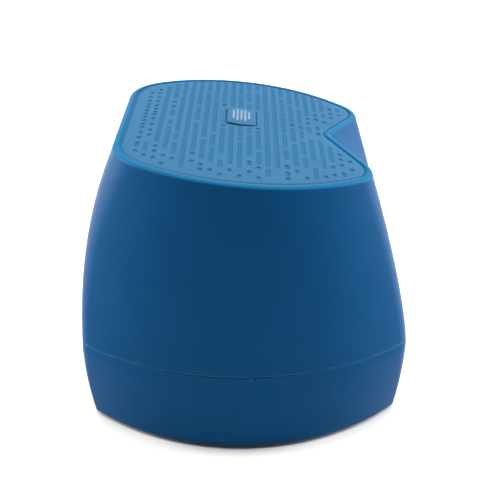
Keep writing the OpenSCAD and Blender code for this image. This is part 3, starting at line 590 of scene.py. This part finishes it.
# ---------------------------------------------------------------- slotted panel
def slot_loop(x, y0, y1, grow):
    """A slot's outline, with extra points along its sides so that it follows the crown."""
    h, low, high, r = SLOT / 2 + grow, y0 - grow, y1 + grow, SLOT_CORNER + grow
    n = max(int((y1 - y0) / PITCH), 1)
    side = np.linspace(low + r, high - r, n + 1)

    def corner(cx, cy, first):
        turns = np.radians([first, first + 22.5, first + 45])
        return [(cx + r * math.cos(a), cy + r * math.sin(a)) for a in turns]
    loop = [(x + h, y) for y in side]
    loop += corner(x + h - r, high - r, 22.5) + [(x + h - r, high), (x - h + r, high)]
    loop += corner(x - h + r, high - r, 112.5) + [(x - h, y) for y in side[::-1]]
    loop += corner(x - h + r, low + r, 202.5) + [(x - h + r, low), (x + h - r, low)]
    loop += corner(x + h - r, low + r, 292.5)
    return np.array(loop)


def badge_loop(grow):
    """The badge's outline: straight sides, a near edge that bows outwards, round corners."""
    cx, cy, w, h = BADGE
    loop = np.array(rounded(w + 2 * grow, h + 2 * grow, BADGE_CORNER + grow, 4))
    dense = []
    for a, b in zip(loop, np.roll(loop, -1, axis=0)):
        steps = 8 if np.hypot(*(b - a)) > 3 else 1
        dense += [a + (b - a) * k / steps for k in range(steps)]
    dense = np.array(dense)
    near = dense[:, 1] < 0
    bow = 1.1 * (1 - (dense[near, 0] / (w / 2 + grow)) ** 2) - 0.9
    dense[near, 1] -= bow * np.clip(-dense[near, 1] / (h / 2), 0, 1) ** 3
    return dense + [cx, cy]


def inside(points, loop):
    """True for the points within the loop, by the crossings of a ray along x."""
    x, y = points[:, 0], points[:, 1]
    hit = np.zeros(len(points), bool)
    for (x0, y0), (x1, y1) in zip(loop, np.roll(loop, -1, axis=0)):
        cross = (y0 > y) != (y1 > y)
        hit ^= cross & (x < (x1 - x0) * (y - y0) / (y1 - y0 if y1 != y0 else 1e-9) + x0)
    return hit


def sheet_between(edge, holes, fill):
    """Triangles between an outer loop and its holes. Returns points and faces, loops first and in order."""
    points, edges, start = [], [], 0
    for loop in [edge] + holes:
        n = len(loop)
        points += list(loop)
        edges += [(start + i, start + (i + 1) % n) for i in range(n)]
        start += n
    points += list(fill)
    flat = [Vector(p) for p in points]
    verts, _, faces, origin, _, _ = geometry.delaunay_2d_cdt(flat, edges, [], 1, 1e-6)
    order = [old[0] for old in origin]
    centre = np.array([np.mean([verts[i] for i in f], axis=0) for f in faces])
    keep = inside(centre, edge)
    for hole in holes:
        near = np.all(np.abs(centre - hole.mean(0)) < np.ptp(hole, axis=0), axis=1)
        if near.any():
            idx = np.where(near)[0]
            keep[idx[inside(centre[idx], hole)]] = False
    return np.array(points), [tuple(order[i] for i in f) for f, k in zip(faces, keep) if k]


def slot_spans():
    """Every slot and hole as its x, its low y and its high y. A hole is a slot 1.8 mm long."""
    spans = []
    for column, row in SLOTS.items():
        for item in row:
            low, high = item if isinstance(item, list) else (item - 0.9, item + 0.9)
            spans.append((column * PITCH, low, high))
    return spans


def lift(points, drop):
    """Flat points set at a depth below the panel's top."""
    return np.column_stack([points, face_z(points[:, 0], points[:, 1]) - PANEL_DROP - drop])


def inner_grid(inset):
    """Points between the slot columns, inside the face's outline moved inwards by inset."""
    grid = np.array([(c * PITCH + PITCH / 2, y) for c in range(-13, 12) for y in np.arange(-45, 46, PITCH)])
    return grid[inside(grid, outline(upper(1), inset))]


def off_slots(grid, spans):
    """The points that are clear of every slot."""
    beside, beyond = 1.2, 0.4
    for x, low, high in spans:
        hit = (grid[:, 1] > low - beyond) & (grid[:, 1] < high + beyond)
        grid = grid[~((np.abs(grid[:, 0] - x) < beside) & hit)]
    return grid


def build_cloth():
    """Acoustic cloth pulled tight under the panel, standing up a little into every slot."""
    spans = slot_spans()
    edge = outline(upper(1), PANEL_IN + 0.2)
    feet = [slot_loop(*span, -0.01) for span in spans]
    tops = [slot_loop(*span, -0.03) for span in spans]
    grid = inner_grid(PANEL_IN + 1.2)
    points, faces = sheet_between(edge, feet, off_slots(grid, spans))
    parts, count, start = [lift(points, PANEL_THICK)], len(points), len(edge)
    for top, (_, low_y, high_y) in zip(tops, spans):
        m = len(top)
        parts.append(lift(top, CLOTH_DEPTH[0] if high_y - low_y > SHORT_SLOT else CLOTH_DEPTH[1]))
        faces += strip(start, count, m)
        faces += [tuple(count + i for i in f) for f in sheet_between(top, [], [])[1]]
        start += m
        count += m
    under, under_faces = sheet_between(edge, [], grid)
    parts.append(lift(under, PANEL_THICK + CLOTH_THICK))
    faces += [tuple(count + i for i in reversed(f)) for f in under_faces]
    faces += strip(0, count, len(edge))
    cloth = outward_smooth(new_object("cloth", np.concatenate(parts), faces), 50)
    place(cloth, "case", "grille_cloth", "grille_cloth")


def build_panel():
    """Crowned plate with every slot and the badge's window cut through, their top edges bevelled."""
    chamfer, chamfer_drop = 0.2, 0.13
    spans = slot_spans()
    tops = [slot_loop(*span, chamfer) for span in spans] + [badge_loop(BADGE_GAP + chamfer)]
    lows = [slot_loop(*span, 0) for span in spans] + [badge_loop(BADGE_GAP)]
    bevel = [(0.68, 0), (0.42, 0.09), (0.18, 0.24), (0, 0.42)]  # inwards and down, round the rim
    edges = [outline(upper(1), PANEL_IN + d) for d, _ in bevel]
    grid = inner_grid(PANEL_IN + 1.2)
    grid = off_slots(grid[~inside(grid, badge_loop(1.2))], spans)
    top_pts, top_faces = sheet_between(edges[0], tops, grid)
    low_pts, low_faces = sheet_between(edges[-1], lows, grid)

    parts, faces, shift = [lift(top_pts, 0), lift(low_pts, PANEL_THICK)], top_faces, len(top_pts)
    faces += [(a + shift, c + shift, b + shift) for a, b, c in low_faces]
    count = shift + len(low_pts)
    n = len(edges[0])
    rings = [0]
    for edge, (_, drop) in list(zip(edges, bevel))[1:]:
        parts.append(lift(edge, drop))
        rings.append(count)
        count += n
    rings.append(shift)
    for a, b in zip(rings, rings[1:]):
        faces += strip(a, b, n)
    start = n
    for loop in lows:
        m = len(loop)
        parts.append(lift(loop, chamfer_drop))
        faces += strip(start, count, m) + strip(count, shift + start, m)
        count += m
        start += m
    panel = outward_smooth(new_object("grille_front", np.concatenate(parts), faces), 28)
    place(panel, "case", "panel_blue", "grille_panel")


def build_badge():
    """Raised tile that leans with the face, and a mark of five level bars on it."""
    z0 = float(face_z(BADGE[0], BADGE[1])) - PANEL_DROP
    edge = 0.5

    def plane(p, dz):
        return np.column_stack([p, z0 + dz - BADGE_LEAN * (p[:, 0] - BADGE[0])])
    rings = [plane(badge_loop(0), -0.4), plane(badge_loop(0), BADGE_TOP - edge)]
    rings += [plane(badge_loop(-BADGE_CORNER * (1 - math.cos(a))), BADGE_TOP - edge + edge * math.sin(a))
              for a in np.radians([30, 60, 90])]
    place(stack("badge", rings), "case", "panel_blue", "badge_plate")
    sunk, thick = 0.06, 0.11
    parts = []
    for k, length in enumerate(BAR_LENGTHS):
        x = (k - 2) * BAR_PITCH

        def slab(a, b, c, x=x):
            return (BADGE[0] + x + a, BADGE[1] + BAR_SHIFT + b,
                    z0 + BADGE_TOP - sunk + c - BADGE_LEAN * (x + a))
        parts.append(prism(rounded(BAR_WIDTH, length, 0.3, 3), slab, 0, thick))
    place(outward_smooth(joined("badge_print", parts)), "case", "badge_white", "badge_mark")


# ---------------------------------------------------------------- keys
def key_outline(inset):
    """A key's edge, moved inwards by inset."""
    across, up, corner = KEY_SIZE
    return rounded(across - 2 * inset, up - 2 * inset, corner - inset, 10)


def build_key(k, name):
    """Key cap with rounded edges and a sunk mark, its flange behind the wall and its stem."""
    y = (k - KEY_HALF) * KEY_PITCH
    back, front = BOARD_X - 6.2, KEY_FRONT
    rings = []
    for d, x in ((0.0, back), (0.0, front + 0.7), (0.08, front + 0.35), (0.3, front + 0.12),
                 (0.7, front + 0.02), (1.4, front)):
        rings.append(np.array([(x, y + a, KEY_Z + b) for a, b in key_outline(d)]))
    cap = stack(name + "_cap", rings)
    bar, post = rounded(2.6, 0.6, 0.2, 2), rounded(0.6, 2.6, 0.2, 2)
    marks = {"mode": [circle(1.1, 24)], "minus": [bar], "play": [[(1.1, 1.3), (1.1, -1.3), (-1.3, 0)]],
             "plus": [bar, post]}
    for loop in marks[name]:
        cut(cap, joined("mark", [prism(loop, along_x(y, KEY_Z), front - 1, front + 0.3)]))
    flange = joined("flange", [prism(rounded(10.6, 8.2, 3.9, 8), along_x(y, KEY_Z), back, BOARD_X - 4.7)])
    cut(cap, flange, "UNION")
    stem = joined("stem", [prism(circle(2), along_x(y, KEY_Z), BOARD_X - 4.72, BOARD_X - 4.35)])
    cut(cap, stem, "UNION")
    place(cap, name + "_key", "key_blue", "key_" + name)


build_upper()
build_base()
build_cloth()
build_panel()
build_badge()
for k, name in enumerate(("mode", "minus", "play", "plus")):
    build_key(k, name)


# ---------------------------------------------------------------- floor, light, camera
def make_floor():
    size = 3.0
    corners = [(x * size, y * size, 0) for x, y in ((-1, -1), (1, -1), (1, 1), (-1, 1))]
    mesh = bpy.data.meshes.new("floor")
    mesh.from_pydata(corners, [], [(0, 1, 2, 3)])
    floor = bpy.data.objects.new("floor", mesh)
    bpy.context.scene.collection.objects.link(floor)
    mat = plastic("floor_pale", (0.68, 0.68, 0.68), 0.9, 300, 0.01, 0.005, spec=0.1)
    mesh.materials.append(mat)


def area_light(name, place_at, target, size, power):
    data = bpy.data.lights.new(name, "AREA")
    data.shape = "RECTANGLE"
    data.size, data.size_y = size
    data.energy = power
    obj = bpy.data.objects.new(name, data)
    bpy.context.scene.collection.objects.link(obj)
    obj.location = place_at
    obj.rotation_mode = "QUATERNION"
    obj.rotation_quaternion = (Vector(target) - Vector(place_at)).to_track_quat("-Z", "Y")


def sky_light(name, towards, strength, spread):
    data = bpy.data.lights.new(name, "SUN")
    data.energy = strength
    data.angle = math.radians(spread)
    obj = bpy.data.objects.new(name, data)
    bpy.context.scene.collection.objects.link(obj)
    obj.rotation_mode = "QUATERNION"
    obj.rotation_quaternion = Vector(towards).to_track_quat("Z", "Y")


def make_world():
    """A pale horizon that darkens upwards."""
    world = bpy.data.worlds.new("world")
    bpy.context.scene.world = world
    world.use_nodes = True
    tree = world.node_tree
    coord = add(tree, "ShaderNodeTexCoord")
    split = add(tree, "ShaderNodeSeparateXYZ")
    fade = add(tree, "ShaderNodeMapRange")
    for k, v in (("From Min", 0.2), ("From Max", 0.36), ("To Min", 0.58), ("To Max", 0.03)):
        fade.inputs[k].default_value = v
    tree.links.new(coord.outputs["Generated"], split.inputs["Vector"])
    tree.links.new(split.outputs["Z"], fade.inputs["Value"])
    tree.nodes["Background"].inputs["Color"].default_value = (1, 1, 1, 1)
    tree.links.new(fade.outputs["Result"], tree.nodes["Background"].inputs["Strength"])


def make_camera():
    """Pitch is downwards, yaw is to the right and roll lifts the right side, in radians."""
    pitch, yaw, roll = 0.512, 0.008, 0.018
    forward = Vector((math.sin(yaw) * math.cos(pitch), math.cos(yaw) * math.cos(pitch), -math.sin(pitch)))
    right = Vector((math.cos(yaw), -math.sin(yaw), 0))
    up = right.cross(forward)
    x_axis = math.cos(roll) * right + math.sin(roll) * up
    y_axis = math.cos(roll) * up - math.sin(roll) * right
    data = bpy.data.cameras.new("camera")
    data.lens, data.sensor_width = 61.92, 36
    cam = bpy.data.objects.new("camera", data)
    bpy.context.scene.collection.objects.link(cam)
    place_at = Vector((-1.149, -280.744, 209.427)) * MM
    rot = Matrix((x_axis, y_axis, -forward)).transposed()
    cam.matrix_world = Matrix.Translation(place_at) @ rot.to_4x4()
    data.clip_start, data.clip_end = 0.01, 20
    bpy.context.scene.camera = cam


make_floor()
make_camera()
centre = (cad_low + cad_high) / 2
sky_light("overhead", towards=(0.0, 0.2, 1.0), strength=5.9, spread=55)
area_light("left_box", (-0.7, 0.12, 0.25), centre, size=(0.3, 0.6), power=11)
area_light("right_box", (0.7, 0.12, 0.25), centre, size=(0.3, 0.6), power=12)
make_world()

bpy.context.scene.view_settings.view_transform = "Standard"
